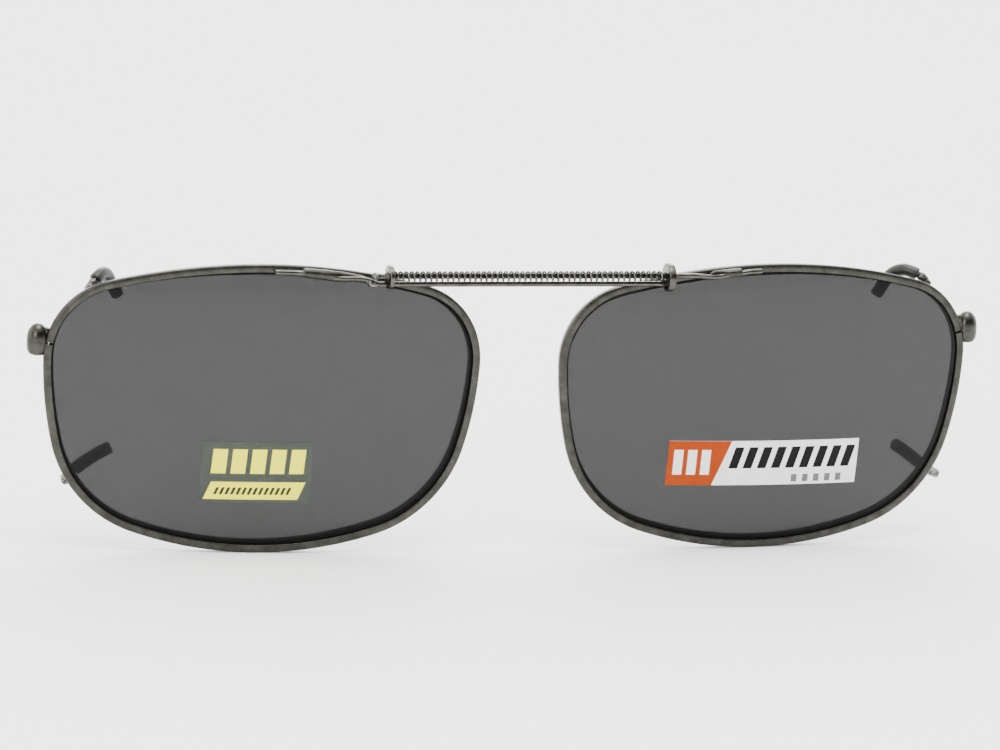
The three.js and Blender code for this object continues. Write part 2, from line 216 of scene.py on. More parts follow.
def outline(share):
    """Points (u, w) of the outline and its inward normals, at shares of its length clockwise from the top."""
    along = np.mod(np.asarray(share, float), 1) * OUTLINE_LENGTH
    mirrored = along > OUTLINE_LENGTH / 2
    along = np.where(mirrored, OUTLINE_LENGTH - along, along)
    starts = [arc[4] for arc in ARCS]
    which = np.searchsorted(starts, along, side="right") - 1
    radius, first, cx, cz, before = np.array(ARCS)[which].T
    heading = first + (along - before) / radius
    flip = np.where(mirrored, -1, 1)
    u = flip * (cx + radius * np.sin(heading))
    w = cz + radius * np.cos(heading) + OUTLINE_RISE
    return np.column_stack([u, w]), np.column_stack([-flip * np.sin(heading), -np.cos(heading)])


def brow_edge(u):
    """Height of the rim's outer edge on the arc of the brow."""
    brow = OUTLINE_ARCS[0][0]
    top = outline([0])[0][0][1]
    return top - brow + np.sqrt(brow**2 - u**2)


def share_at_height(w):
    """The share of the outline at which its temple side stands at this height, by halving."""
    low, high = 0.0, 0.25
    for _ in range(HALVINGS):
        middle = (low + high) / 2
        if outline([middle])[0][0][1] > w:
            low = middle
        else:
            high = middle
    return low


# ---- meshes ----


def grid_faces(rows, columns, close_rows=False):
    """Quads of a grid whose columns close, row after row."""
    faces = []
    for i in range(rows if close_rows else rows - 1):
        a = i * columns
        b = (i + 1) % rows * columns
        for j in range(columns):
            k = (j + 1) % columns
            faces.append((a + j, a + k, b + k, b + j))
    return faces


def make_piece(name, points, faces, material, body, nodes=(), sharp=40):
    """A piece from points in millimetres, riding on its body and standing for its CAD nodes."""
    mesh = bpy.data.meshes.new(name)
    mesh.from_pydata((np.asarray(points) * MM).tolist(), [], faces)
    mesh.validate()
    work = bmesh.new()
    work.from_mesh(mesh)
    bmesh.ops.recalc_face_normals(work, faces=work.faces)
    work.to_mesh(mesh)
    work.free()
    mesh.polygons.foreach_set("use_smooth", [True] * len(mesh.polygons))
    mesh.set_sharp_from_angle(angle=math.radians(sharp))
    mesh.materials.append(material)
    piece = bpy.data.objects.new(name, mesh)
    bpy.context.scene.collection.objects.link(piece)
    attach(piece, body)
    if nodes:
        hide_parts(*nodes)
    return piece


def rounded(corners, steps=4):
    """A closed section with each corner (x, y, size) rounded off by a parabola that long on each side."""
    out = []
    count = len(corners)
    for i, (x, y, size) in enumerate(corners):
        here = np.array([x, y], float)
        if size == 0:
            out.append(here)
            continue
        to_last = np.array(corners[i - 1][:2], float) - here
        to_next = np.array(corners[(i + 1) % count][:2], float) - here
        first = here + to_last / np.linalg.norm(to_last) * size
        last = here + to_next / np.linalg.norm(to_next) * size
        for t in np.linspace(0, 1, steps + 1):
            out.append((1 - t) ** 2 * first + 2 * t * (1 - t) * here + t**2 * last)
    return np.array(out)


def catmull(knots, per_knot):
    """A centripetal Catmull-Rom curve through the knots."""
    knots = np.asarray(knots, float)
    padded = np.vstack([2 * knots[0] - knots[1], knots, 2 * knots[-1] - knots[-2]])
    out = []
    for p0, p1, p2, p3 in zip(padded, padded[1:], padded[2:], padded[3:]):
        t1 = np.linalg.norm(p1 - p0) ** 0.5
        t2 = t1 + np.linalg.norm(p2 - p1) ** 0.5
        t3 = t2 + np.linalg.norm(p3 - p2) ** 0.5
        for t in np.linspace(t1, t2, per_knot, endpoint=False):
            a1 = (t1 - t) / t1 * p0 + t / t1 * p1
            a2 = (t2 - t) / (t2 - t1) * p1 + (t - t1) / (t2 - t1) * p2
            a3 = (t3 - t) / (t3 - t2) * p2 + (t - t2) / (t3 - t2) * p3
            b1 = (t2 - t) / t2 * a1 + t / t2 * a2
            b2 = (t3 - t) / (t3 - t1) * a2 + (t - t1) / (t3 - t1) * a3
            out.append((t2 - t) / (t2 - t1) * b1 + (t - t1) / (t2 - t1) * b2)
    return np.vstack([out, knots[-1:]])


def lengths_along(path):
    return np.concatenate([[0], np.cumsum(np.linalg.norm(np.diff(path, axis=0), axis=1))])


def tube(path, stations, sides=20, section=None):
    """Rings on a path at stations (distance, radius), with flat ends.

    section(angles, distance) scales a ring.
    """
    along = lengths_along(path)
    tangents = np.gradient(path, axis=0)
    tangents /= np.linalg.norm(tangents, axis=1)[:, None]
    normal = np.cross(tangents[0], [0, 0, 1] if abs(tangents[0][2]) < 0.9 else [1, 0, 0])
    normals = []
    for tangent in tangents:
        normal = normal - tangent * np.dot(normal, tangent)
        normal = normal / np.linalg.norm(normal)
        normals.append(normal)
    normals = np.array(normals)
    angles = np.arange(sides) * 2 * np.pi / sides
    points = []
    for distance, radius in stations:
        inside = np.clip(distance, 0, along[-1])
        centre = np.array([np.interp(inside, along, path[:, k]) for k in range(3)])
        tangent = np.array([np.interp(inside, along, tangents[:, k]) for k in range(3)])
        tangent /= np.linalg.norm(tangent)
        across = np.array([np.interp(inside, along, normals[:, k]) for k in range(3)])
        across -= tangent * np.dot(across, tangent)
        across /= np.linalg.norm(across)
        centre = centre + tangent * (distance - inside)
        up = np.cross(tangent, across)
        reach = radius * (section(angles, distance) if section else np.ones(sides))
        ring = np.outer(reach * np.cos(angles), across)
        points.append(centre + ring + np.outer(reach * np.sin(angles), up))
    rows = len(stations)
    faces = grid_faces(rows, sides)
    faces.append(tuple(range(sides)))
    faces.append(tuple(range((rows - 1) * sides, rows * sides)))
    return np.vstack(points), faces


def plain_stations(path, radius, ends=0.08):
    """Stations all along a path, with its ends rounded off."""
    along = lengths_along(path)
    length = along[-1]
    middle = [(s, radius) for s in along if ends < s < length - ends]
    first = [(0, radius - ends), (0.3 * ends, radius - 0.3 * ends), (ends, radius)]
    return first + middle + [(length - s, r) for s, r in reversed(first)]


def lathe(profile, u, d, w, sides=48):
    """A solid turned about w, from a closed profile of (radius, height)."""
    angles = np.arange(sides) * 2 * np.pi / sides
    points = []
    for r, h in profile:
        ring = [u + r * np.cos(angles), d + r * np.sin(angles), np.full(sides, w + h)]
        points.append(np.column_stack(ring))
    return np.vstack(points), grid_faces(len(profile), sides, close_rows=True)


# ---- materials ----


class Shader:
    """A material's node tree, with one Principled shader."""

    def __init__(self, name):
        self.material = bpy.data.materials.new(name)
        self.material.use_nodes = True
        self.tree = self.material.node_tree
        self.surface = self.tree.nodes["Principled BSDF"]

    def add(self, kind, settings=None, **inputs):
        """A node with its settings, and its inputs by name or, as i0 and so on, by number."""
        node = self.tree.nodes.new(kind)
        for key, value in (settings or {}).items():
            setattr(node, key, value)
        for key, value in inputs.items():
            socket = int(key[1:]) if key[1:].isdigit() else key.replace("_", " ")
            self.set(node.inputs[socket], value)
        return node

    def set(self, socket, value):
        if isinstance(value, bpy.types.NodeSocket):
            self.tree.links.new(value, socket)
        else:
            socket.default_value = value

    def finish(self, **inputs):
        for key, value in inputs.items():
            self.set(self.surface.inputs[key.replace("_", " ")], value)
        return self.material

    def place(self):
        return self.add("ShaderNodeTexCoord").outputs["Object"]

    def noise(self, per_mm, detail=3):
        """Noise with this many features to a millimetre."""
        node = self.add("ShaderNodeTexNoise", Vector=self.place(), Scale=per_mm / MM, Detail=detail)
        return node.outputs["Fac"]

    def spread(self, value, low, high, low_in=0.3, high_in=0.7):
        node = self.add("ShaderNodeMapRange", i0=value, i1=low_in, i2=high_in, i3=low, i4=high)
        return node.outputs[0]

    def mix(self, share, a, b):
        node = self.add("ShaderNodeMix", {"data_type": "RGBA"}, i0=share, i6=a, i7=b)
        return node.outputs[2]

    def math(self, operation, a, b=0.0):
        return self.add("ShaderNodeMath", {"operation": operation}, i0=a, i1=b).outputs[0]

    def bump(self, height, strength, micrometres):
        node = self.add("ShaderNodeBump", Strength=strength, Distance=micrometres * 1e-6, Height=height)
        return node.outputs["Normal"]


def metal(name, dull, bright, roughness):
    """Plated wire or rim: slow patches of tarnish, uneven polish and a fine drawn grain."""
    s = Shader(name)
    patches = s.noise(0.7, 5)
    colour = s.mix(s.spread(patches, 0, 1), dull, bright)
    polish = s.spread(s.noise(2.5, 4), roughness * 0.8, roughness * 1.3)
    normal = s.bump(s.noise(12, 2), 0.25, 4)
    return s.finish(Base_Color=colour, Roughness=polish, Metallic=1.0, Normal=normal)


def solder_metal(name, dull, bright, per_mm, sharpness):
    """Solder: a lumpy skin with pale streaks or freckles, this many to a millimetre."""
    s = Shader(name)
    streaks = s.noise(per_mm, 4)
    colour = s.mix(s.spread(streaks, 0, 1, 0.5 - sharpness, 0.5 + sharpness), dull, bright)
    normal = s.bump(s.noise(0.7 * per_mm, 3), 0.5, 60)
    polish = s.spread(streaks, 0.26, 0.4)
    return s.finish(Base_Color=colour, Roughness=polish, Metallic=1.0, Normal=normal)


def smoke_lens(name):
    """Smoke plastic with painted shade: its ground bevel is painted black to stand for the shade in the rim's
    groove, and its tint is on the front face so that light is dimmed once.

    The attribute bevel is 1 in that painted black band, and film is 1 on the front.
    """
    s = Shader(name)
    # Painted shade: the edge band is painted near black and made almost opaque, standing for the shade in the
    # rim's groove.
    bevel = s.add("ShaderNodeAttribute", {"attribute_name": "bevel"}).outputs["Fac"]
    cloud = s.noise(0.05, 2)
    tint = s.mix(s.spread(cloud, 0, 1), (0.004, 0.004, 0.004, 1), (0.006, 0.006, 0.0059, 1))
    colour = s.mix(bevel, tint, (0.001, 0.001, 0.001, 1))
    film = s.add("ShaderNodeAttribute", {"attribute_name": "film"}).outputs["Fac"]
    tinted = s.math("MULTIPLY", film, s.spread(cloud, 0.966, 0.968))
    density = s.math("MAXIMUM", s.math("MAXIMUM", tinted, 0.1), s.math("MULTIPLY", bevel, 0.99))
    roughness = s.spread(bevel, 0.06, 0.5, 0, 1)
    return s.finish(Base_Color=colour, Alpha=density, Roughness=roughness, Specular_IOR_Level=0.08)


def vinyl(name):
    """Dip-moulded smoky vinyl, with a dull skin and fine pits."""
    s = Shader(name)
    mottle = s.noise(1.2, 4)
    colour = s.mix(s.spread(mottle, 0, 1), (0.012, 0.013, 0.011, 1), (0.022, 0.0235, 0.0205, 1))
    normal = s.bump(s.noise(6, 3), 0.3, 8)
    dullness = s.spread(mottle, 0.28, 0.42)
    return s.finish(Base_Color=colour, Roughness=dullness, Specular_IOR_Level=0.3, Normal=normal)


class Print(Shader):
    """A printed film. Its map runs from 0 to 1 across the sheet and up it."""

    def __init__(self, name):
        super().__init__(name)
        axes = self.add("ShaderNodeSeparateXYZ", Vector=self.add("ShaderNodeUVMap").outputs[0])
        self.across = axes.outputs[0]
        self.up = axes.outputs[1]

    def between(self, value, low, high):
        above = self.math("GREATER_THAN", value, low)
        return self.math("MULTIPLY", above, self.math("LESS_THAN", value, high))

    def panel(self, left, right, low, high, slant=0.0):
        """1 inside a box whose sides lean to the right by slant for the whole height of the sheet."""
        lean = self.math("SUBTRACT", self.across, self.math("MULTIPLY", self.up, slant))
        return self.math("MULTIPLY", self.between(lean, left, right), self.between(self.up, low, high))

    def bars(self, left, right, low, high, count, fill=0.6, slant=0.0):
        """A row of count plain bars, each filling that share of its step."""
        lean = self.math("SUBTRACT", self.across, self.math("MULTIPLY", self.up, slant))
        steps = self.math("MULTIPLY", self.math("SUBTRACT", lean, left), count / (right - left))
        bar = self.math("LESS_THAN", self.math("FRACT", steps), fill)
        return self.math("MULTIPLY", bar, self.panel(left, right, low, high, slant))


def clear_label(name):
    """Tinted clear film with a row of yellow bars over a leaning yellow band with dark ticks."""
    s = Print(name)
    yellow = (0.92, 0.88, 0.02, 1)
    dark = (0.025, 0.03, 0.02, 1)
    film = s.mix(s.spread(s.noise(0.4), 0, 1), (0.06, 0.074, 0.06, 1), (0.078, 0.09, 0.072, 1))
    row = s.bars(0.08, 0.96, 0.48, 0.88, 5, 0.74, 0.03)
    band = s.panel(0.03, 0.88, 0.05, 0.34, 0.22)
    ticks = s.bars(0.1, 0.8, 0.13, 0.25, 14, 0.55, 0.22)
    colour = s.mix(row, film, yellow)
    colour = s.mix(band, colour, yellow)
    colour = s.mix(s.math("MULTIPLY", band, ticks), colour, dark)
    cover = s.spread(s.math("MAXIMUM", row, band), 0.55, 1, 0, 1)
    return s.finish(Base_Color=colour, Alpha=cover, Roughness=0.35, Specular_IOR_Level=0.1)


def white_label(name):
    """White film: a leaning orange panel with white bars, then a row of black bars over a small grey row."""
    s = Print(name)
    paper = s.mix(s.spread(s.noise(0.8), 0, 1), (0.8, 0.8, 0.8, 1), (0.88, 0.88, 0.87, 1))
    orange = s.mix(s.spread(s.noise(1.5), 0, 1), (0.3, 0.034, 0.0005, 1), (0.34, 0.044, 0.0005, 1))
    edge = s.panel(-1, 0.235, 0, 1, 0.085)
    colour = s.mix(edge, paper, orange)
    colour = s.mix(s.bars(0.03, 0.24, 0.24, 0.8, 3, 0.66), colour, (0.85, 0.85, 0.84, 1))
    colour = s.mix(s.bars(0.29, 0.96, 0.38, 0.86, 9, 0.62, 0.06), colour, (0.004, 0.004, 0.004, 1))
    colour = s.mix(s.bars(0.65, 0.95, 0.06, 0.23, 5, 0.5), colour, (0.13, 0.13, 0.135, 1))
    return s.finish(Base_Color=colour, Roughness=s.spread(s.noise(2), 0.4, 0.5), Specular_IOR_Level=0.1)


def floor_paint(name):
    s = Shader(name)
    colour = s.mix(s.spread(s.noise(0.004, 2), 0, 1), (0.9, 0.9, 0.895, 1), (0.93, 0.93, 0.925, 1))
    return s.finish(Base_Color=colour, Roughness=0.85, Specular_IOR_Level=0.1)


GUNMETAL = metal("gunmetal_plate", (0.032, 0.032, 0.027, 1), (0.056, 0.056, 0.048, 1), 0.3)
BRIGHT = metal("bright_plate", (0.05, 0.049, 0.042, 1), (0.095, 0.092, 0.08, 1), 0.22)
# Painted shade: a darker copy of the bright plate, for the stretch of wire that the spring's coils shade.
PAINTED_SHADE_PLATE = metal("painted_shade_plate", (0.012, 0.012, 0.01, 1), (0.03, 0.03, 0.026, 1), 0.35)
SPRING_STEEL = metal("spring_wire", (0.06, 0.06, 0.05, 1), (0.12, 0.12, 0.105, 1), 0.22)
CLAW_METAL = metal("claw_wire", (0.05, 0.05, 0.043, 1), (0.1, 0.1, 0.088, 1), 0.24)
SOLDER = solder_metal("solder", (0.032, 0.032, 0.027, 1), (0.052, 0.052, 0.044, 1), 1.1, 0.2)
FRECKLED = solder_metal("freckled_solder", (0.035, 0.035, 0.031, 1), (0.16, 0.16, 0.145, 1), 3, 0.08)
SMOKE = smoke_lens("smoke_lens")
VINYL = vinyl("black_vinyl")


# ---- rims and lenses ----

RIM_STEPS = 280
LENS_STEPS = 240
SHARP_ANGLE = 50
EDGE_SHADE_BLUR = 12  # steps on each side over which the width of the painted edge shade is averaged


def rim_section():
    """The rim's section as (d, inward): crowned in front and round outside, with a groove for the lens."""
    half = RIM_DEPTH / 2
    groove = GROOVE_WIDTH / 2
    floor = RIM_WIDTH - GROOVE_DEPTH
    corners = [
        (-half + 0.04, 0, 0.28),
        (half - 0.04, 0, 0.28),
        (half, RIM_WIDTH, 0.08),
        (groove, RIM_WIDTH, 0.04),
        (groove, floor, 0),
        (-groove, floor, 0),
        (-groove, RIM_WIDTH, 0.04),
        (-half + 0.08, RIM_WIDTH, 0.12),
        (-half - 0.02, RIM_WIDTH * 0.5, 0.25),
    ]
    return rounded(corners)


def make_rim(side):
    slit = share_at_height(SIDES[side]["block_w"] - SPLIT_DROP)
    half_slit = RIM_SLIT / 2 / OUTLINE_LENGTH
    points, inward = outline(np.linspace(slit + half_slit, slit + 1 - half_slit, RIM_STEPS))
    section = rim_section()
    rows = []
    for (u, w), (nu, nw) in zip(points, inward):
        rows.append(np.column_stack([u + nu * section[:, 1], section[:, 0], w + nw * section[:, 1]]))
    columns = len(section)
    faces = grid_faces(RIM_STEPS, columns)
    faces.append(tuple(range(columns)))
    faces.append(tuple(range((RIM_STEPS - 1) * columns, RIM_STEPS * columns)))
    placed = place(np.vstack(rows), side)
    name = f"{side}_rim_frame"
    make_piece(name, placed, faces, GUNMETAL, f"{side}_half", [f"{side}_rim"], SHARP_ANGLE)


def make_lens(side):
    """The lens as rings that step in from its edge, close together in the bevel, front and back."""
    shares = np.arange(LENS_STEPS) / LENS_STEPS
    points, inward = outline(shares)
    reaches = [LENS_INSET, 0.8, 1.0, 1.1, 1.2, 1.3, 1.4, 1.5, 1.6, 1.7, 1.8, 1.9, 2.0, 2.2, 2.6]
    shrinks = [0.94, 0.82, 0.68, 0.52, 0.36, 0.2, 0.06]
    rings = [points + inward * reach for reach in reaches]
    rings += [rings[-1] * shrink for shrink in shrinks]
    # Painted shade: the black band at the lens's edge stands for the shadowed groove, wider where more of
    # that shade shows.
    widths = SIDES[side]["bevel"]
    knots = np.arange(len(widths) + 1) / len(widths)
    width = np.interp(shares, knots, list(widths) + [widths[0]])
    width = sum(np.roll(width, k) for k in range(-EDGE_SHADE_BLUR, EDGE_SHADE_BLUR + 1)) / (2 * EDGE_SHADE_BLUR + 1)
    fade = 0.1
    marks = [np.clip((RIM_WIDTH + width - reach) / fade, 0, 1) for reach in reaches]
    marks += [np.zeros(LENS_STEPS)] * len(shrinks)
    half = LENS_THICKNESS / 2
    front = [np.column_stack([r[:, 0], np.full(LENS_STEPS, -half), r[:, 1]]) for r in rings]
    back = [np.column_stack([r[:, 0], np.full(LENS_STEPS, half), r[:, 1]]) for r in rings]
    rows = front[::-1] + back
    placed = place(np.vstack(rows), side)
    faces = grid_faces(len(rows), LENS_STEPS)
    faces.append(tuple(range(LENS_STEPS)))
    faces.append(tuple(range((len(rows) - 1) * LENS_STEPS, len(rows) * LENS_STEPS)))
    name = f"{side}_tinted_lens"
    nodes = [f"{side}_lens"]
    lens = make_piece(name, placed, faces, SMOKE, f"{side}_half", nodes, SHARP_ANGLE)
    films = np.repeat([1.0, 0.0], len(rings) * LENS_STEPS)
    for attribute_name, values in (("bevel", np.concatenate(marks[::-1] + marks)), ("film", films)):
        attribute = lens.data.attributes.new(attribute_name, "FLOAT", "POINT")
        attribute.data.foreach_set("value", values.astype(np.float32))


# ---- closing blocks ----


def block_radius(height):
    end, power = BLOCK_CROWN if height > 0 else BLOCK_BASE
    return BLOCK_RADIUS * math.sqrt(1 - abs(height / end) ** power)


def make_blocks(side):
    """The two halves of the bulging barrel, with the bore and the sink of their screw."""
    foot = SPLIT_HALF - SPLIT_DROP
    head = -SPLIT_HALF - SPLIT_DROP
    upper = [(ON_AXIS, SCREW_TIP), (SCREW_BORE, SCREW_TIP), (SCREW_BORE, foot)]
    # The crown ends in a point on the axis, so its heights crowd together there.
    for share in np.linspace(0, 1, 22):
        height = foot + (BLOCK_CROWN[0] - foot) * math.sin(share * math.pi / 2)
        upper.append((max(block_radius(min(height, BLOCK_CROWN[0])), ON_AXIS), height))
    sink = SINK_DEPTH - BLOCK_HALF
    lower = [(SCREW_BORE, head), (SCREW_BORE, sink), (SCREW_SINK, sink)]
    lower.append((SCREW_SINK, 0.05 - BLOCK_HALF))
    lower += [(SCREW_SINK + 0.05, -BLOCK_HALF), (block_radius(-BLOCK_HALF) - 0.08, -BLOCK_HALF)]
    for height in np.linspace(0.06 - BLOCK_HALF, head, 12):
        lower.append((block_radius(height), height))
    for half, profile in (("upper", upper), ("lower", lower)):
        points, faces = lathe(profile, BLOCK_U, BLOCK_D, SIDES[side]["block_w"])
        placed = place(points, side)
        name = f"{side}_{half}_closing_barrel"
        make_piece(name, placed, faces, GUNMETAL, f"{side}_half", [f"{side}_block_{half}"], 40)


def make_necks(side):
    """The brazed necks that join the two halves of the barrel to the rim above and below its slit."""
    place_w = SIDES[side]["block_w"]
    foot = SPLIT_HALF - SPLIT_DROP
    head = -SPLIT_HALF - SPLIT_DROP
    spans = {"upper": (foot, NECK_SPAN["upper"]), "lower": (NECK_SPAN["lower"], head)}
    for half, (low, high) in spans.items():
        shares = [share_at_height(place_w + h) for h in np.linspace(low, high, 12)]
        points, inward = outline(shares)
        points = points - NECK_OUT * inward
        path = np.column_stack([points[:, 0], np.full(len(points), BLOCK_D / 2), points[:, 1]])
        points, faces = tube(path, plain_stations(path, NECK_RADIUS, 0.3), 20)
        placed = place(points, side)
        make_piece(f"{side}_{half}_neck", placed, faces, GUNMETAL, f"{side}_half")


# ---- bridge ----


def brow_points(side, along):
    """Points of the wire's centre along the front of the brow, at heights below the rim's edge."""
    return place([(u, -ARM_STAND_OFF, brow_edge(u) - drop) for u, drop in along], side)


def arm_points(side):
    drop = SIDES[side]["arm_drop"]
    tip = SIDES[side]["arm_tip"]
    return brow_points(side, [(-8.7, drop + 0.22), (-6, drop + 0.14), (-3.8, drop), (tip, drop)])


def make_right_wire():
    """The wire through the spring, with painted shade between the plates, where the coils shade it: a darker
    copy of its plate.
    """
    y, z = UPPER_ROD
    straight = [(x, y, z) for x in (UPPER_STUB_X, 0, 17.5, 20.5, 22)]
    path = catmull([*straight, *arm_points("right")], ARM_STEPS)
    points, faces = tube(path, plain_stations(path, ROD_RADIUS), 24)
    nodes = ["right_bridge_wire"]
    wire = make_piece("right_wire", points, faces, BRIGHT, "right_half", nodes)
    # Painted shade on the stretch of wire between the plates.
    wire.data.materials.append(PAINTED_SHADE_PLATE)
    for face in wire.data.polygons:
        if LEFT_PLATE["x"] < face.center.x / MM < RIGHT_PLATE["x"]:
            face.material_index = 1
    make_solder("right", path)


def make_left_wire():
    """The wire below the spring, riveted past the right plate, with the jog that lifts it to its arm."""
    y, z = LOWER_ROD
    straight = [(x, y, z) for x in (LOWER_END_X, 0, -17, -19.3, -20.4)]
    jog = (-22.3, y + 0.35, z + 0.58)
    path = catmull([*straight, jog, *arm_points("left")], ARM_STEPS)
    stations = plain_stations(path, ROD_RADIUS)
    rivet = [(0, 0.3), (0.04, 0.42), (0.12, 0.5), (0.22, 0.52), (0.29, 0.5), (0.3, ROD_RADIUS)]
    stations = rivet + [s for s in stations if s[0] > 0.31]
    points, faces = tube(path, stations, 24)
    make_piece("left_wire", points, faces, BRIGHT, "left_half", ["left_bridge_wire"])
    make_solder("left", path)


def make_collar():
    """Solder that holds the right wire in the left plate, on the plate's outer face."""
    y, z = UPPER_ROD
    face = LEFT_PLATE["x"] - LEFT_PLATE["thickness"] / 2
    path = np.array([(face - s, y, z) for s in np.linspace(0, 0.5, 6)])
    points, faces = tube(path, [(0, 0.62), (0.12, 0.56), (0.25, 0.46), (0.4, 0.39), (0.5, 0.34)], 24)
    make_piece("left_plate_solder", points, faces, SOLDER, "right_half")


def make_blob(name, knots, radius, body):
    """A freckled lump of solder along a few knots."""
    path = catmull(knots, 8)
    length = lengths_along(path)[-1]
    tip = 0.08

    def lumps(angles, distance):
        return 1 + 0.07 * np.sin(2 * angles + 4 * distance) + 0.05 * np.sin(3 * angles - 7 * distance)

    stations = []
    for share in np.linspace(0, 1, 18):
        swell = math.sqrt(math.sin(math.pi * share))
        stations.append((share * length, tip + (radius - tip) * swell))
    points, faces = tube(path, stations, 24, lumps)
    make_piece(name, points, faces, FRECKLED, body)


def make_jog_solder():
    """Solder on the start of the left wire's jog, and on the right wire's free end, which slides clear of it.

    The two lumps ride on different halves, so they must not touch.
    """
    y, z = LOWER_ROD
    jog = [(-20.35, y - 0.05, z - 0.06), (-21.05, y + 0.02, z + 0.02), (-21.95, y + 0.24, z + 0.34)]
    make_blob("left_jog_solder", jog, 0.47, "left_half")
    y, z = UPPER_ROD
    make_blob("right_wire_end", [(-20.2, y, z), (-20.85, y, z), (-21.45, y, z)], 0.5, "right_half")


def make_solder(side, wire):
    """The wedge of solder from the rim over an arm. The wire still stands out of it towards the bridge."""
    above = 0.85
    under_edge = 0.1
    set_back = 0.2
    first, last = SIDES[side]["solder"]
    below = ROD_RADIUS + SIDES[side]["solder_sag"]
    u = np.abs(wire[:, 0]) - LENS_X
    inside = (u > first) & (u < last)
    path = wire[inside]
    high = np.minimum(path[:, 2] + above, brow_edge(u[inside]) - under_edge)
    low = path[:, 2] - below
    tall = (high - low) / 2
    path = np.column_stack([path[:, 0], path[:, 1] + set_back, (high + low) / 2])
    along = lengths_along(path)
    length = along[-1]

    def oval(angles, distance):
        share = distance / length
        deep = np.interp(share, [0, 0.4, 0.6, 1], [0.3, 0.4, 0.66, 0.62])
        height = np.interp(distance, along, tall)
        return deep * height / np.hypot(height * np.cos(angles), deep * np.sin(angles))

    stations = []
    for share in np.linspace(0, 1, 60):
        swell = min(1, 0.1 + math.sqrt(share / 0.15), 0.1 + math.sqrt((1 - share) / 0.06))
        stations.append((share * length, swell))
    points, faces = tube(path, stations, 28, oval)
    make_piece(f"{side}_arm_solder", points, faces, SOLDER, f"{side}_half")


def make_plate(name, plate, body, node):
    """A disc across the bridge with rounded edges and a running hole for each wire."""
    curve = bpy.data.curves.new(name, "CURVE")
    curve.dimensions = "2D"
    curve.fill_mode = "BOTH"
    edge = 0.14
    curve.extrude = (plate["thickness"] / 2 - edge) * MM
    curve.bevel_depth = edge * MM
    curve.bevel_resolution = 4
    circles = [(0, 0, plate["radius"] - edge, 48)]
    for y, z in (UPPER_ROD, LOWER_ROD):
        circles.append((y - plate["y"], z - plate["z"], ROD_RADIUS + FIT + edge, 28))
    for cx, cy, radius, steps in circles:
        spline = curve.splines.new("POLY")
        spline.points.add(steps - 1)
        spline.use_cyclic_u = True
        for i, point in enumerate(spline.points):
            angle = 2 * math.pi * i / steps
            across = (cx + radius * math.cos(angle)) * MM
            up = (cy + radius * math.sin(angle)) * MM
            point.co = (across, up, 0, 1)
    source = bpy.data.objects.new(name, curve)
    bpy.context.scene.collection.objects.link(source)
    bpy.context.view_layer.update()
    evaluated = source.evaluated_get(bpy.context.evaluated_depsgraph_get())
    mesh = bpy.data.meshes.new_from_object(evaluated)
    bpy.data.objects.remove(source)
    work = bmesh.new()
    work.from_mesh(mesh)
    bmesh.ops.remove_doubles(work, verts=work.verts, dist=1e-6)
    x, y, z = (plate[axis] * MM for axis in "xyz")
    axes = Matrix(((0, 0, 1, x), (1, 0, 0, y), (0, 1, 0, z), (0, 0, 0, 1)))
    bmesh.ops.transform(work, matrix=axes, verts=work.verts)
    points = [np.array(v.co) / MM for v in work.verts]
    faces = [tuple(v.index for v in f.verts) for f in work.faces]
    work.free()
    make_piece(name, points, faces, BRIGHT, body, [node], 35)


def make_spring():
    """The compression spring around the right wire, between the plates' inner faces."""
    clear = SPRING_WIRE + FIT
    first = LEFT_PLATE["x"] + LEFT_PLATE["thickness"] / 2 + clear
    last = RIGHT_PLATE["x"] - RIGHT_PLATE["thickness"] / 2 - clear
    turns = np.linspace(0, COILS, COILS * TURN_STEPS + 1)
    angle = turns * 2 * math.pi
    y, z = UPPER_ROD
    x = first + (last - first) * turns / COILS
    path = np.column_stack([x, y + COIL_RADIUS * np.cos(angle), z + COIL_RADIUS * np.sin(angle)])
    points, faces = tube(path, [(s, SPRING_WIRE) for s in lengths_along(path)], 8)
    nodes = ["bridge_spring"]
    spring = make_piece("coil_spring", points, faces, SPRING_STEEL, "left_half", nodes)
    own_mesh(spring)


# ---- claws ----


def claw_path(knots, side, which):
    """The wire from its root. Knots step from the foot, and lean further towards the tip."""
    root, foot, lean = SIDES[side][which]
    flat = [(root[0], knots[0][1], root[1])]
    for i, (u, d, w) in enumerate(knots[1:], 1):
        share = i / (len(knots) - 1)
        flat.append((foot[0] + u + lean[0] * share, d, foot[1] + w + lean[1] * share))
    return place(catmull(flat, 12), side)


def make_claw(knots, side, which, material):
    """A claw's wire, the sleeve on its end and the solder at its foot."""
    path = claw_path(knots, side, which)
    along = lengths_along(path)
    points, faces = tube(path, plain_stations(path, CLAW_RADIUS), 24)
    name = f"{side}_{which}"
    make_piece(f"{name}_wire", points, faces, material, f"{side}_half", [name])

    bare = round((1 - SLEEVED[which]) * (len(path) - 1))
    start = along[bare]
    end = along[-1] + SLEEVE_TAIL
    radius = SLEEVE_RADIUS
    lip = [(start + 0.3, CLAW_RADIUS + 0.02), (start + 0.02, CLAW_RADIUS + 0.04), (start, CLAW_RADIUS + 0.14)]
    shoulder = [(start, radius - 0.1), (start + 0.04, radius - 0.03), (start + 0.12, radius)]
    middle = [(s, radius) for s in np.linspace(start + 0.3, end - 0.35, 16)]
    tip = [(end - 0.22, radius - 0.03), (end - 0.1, radius - 0.12), (end - 0.02, radius - 0.27)]
    tip.append((end, radius - 0.42))
    points, faces = tube(path, lip + shoulder + middle + tip, 28)
    node = f"{name}_sleeve"
    make_piece(f"{name}_cover", points, faces, VINYL, f"{side}_half", [node])
    make_foot(path[:bare], side, name)


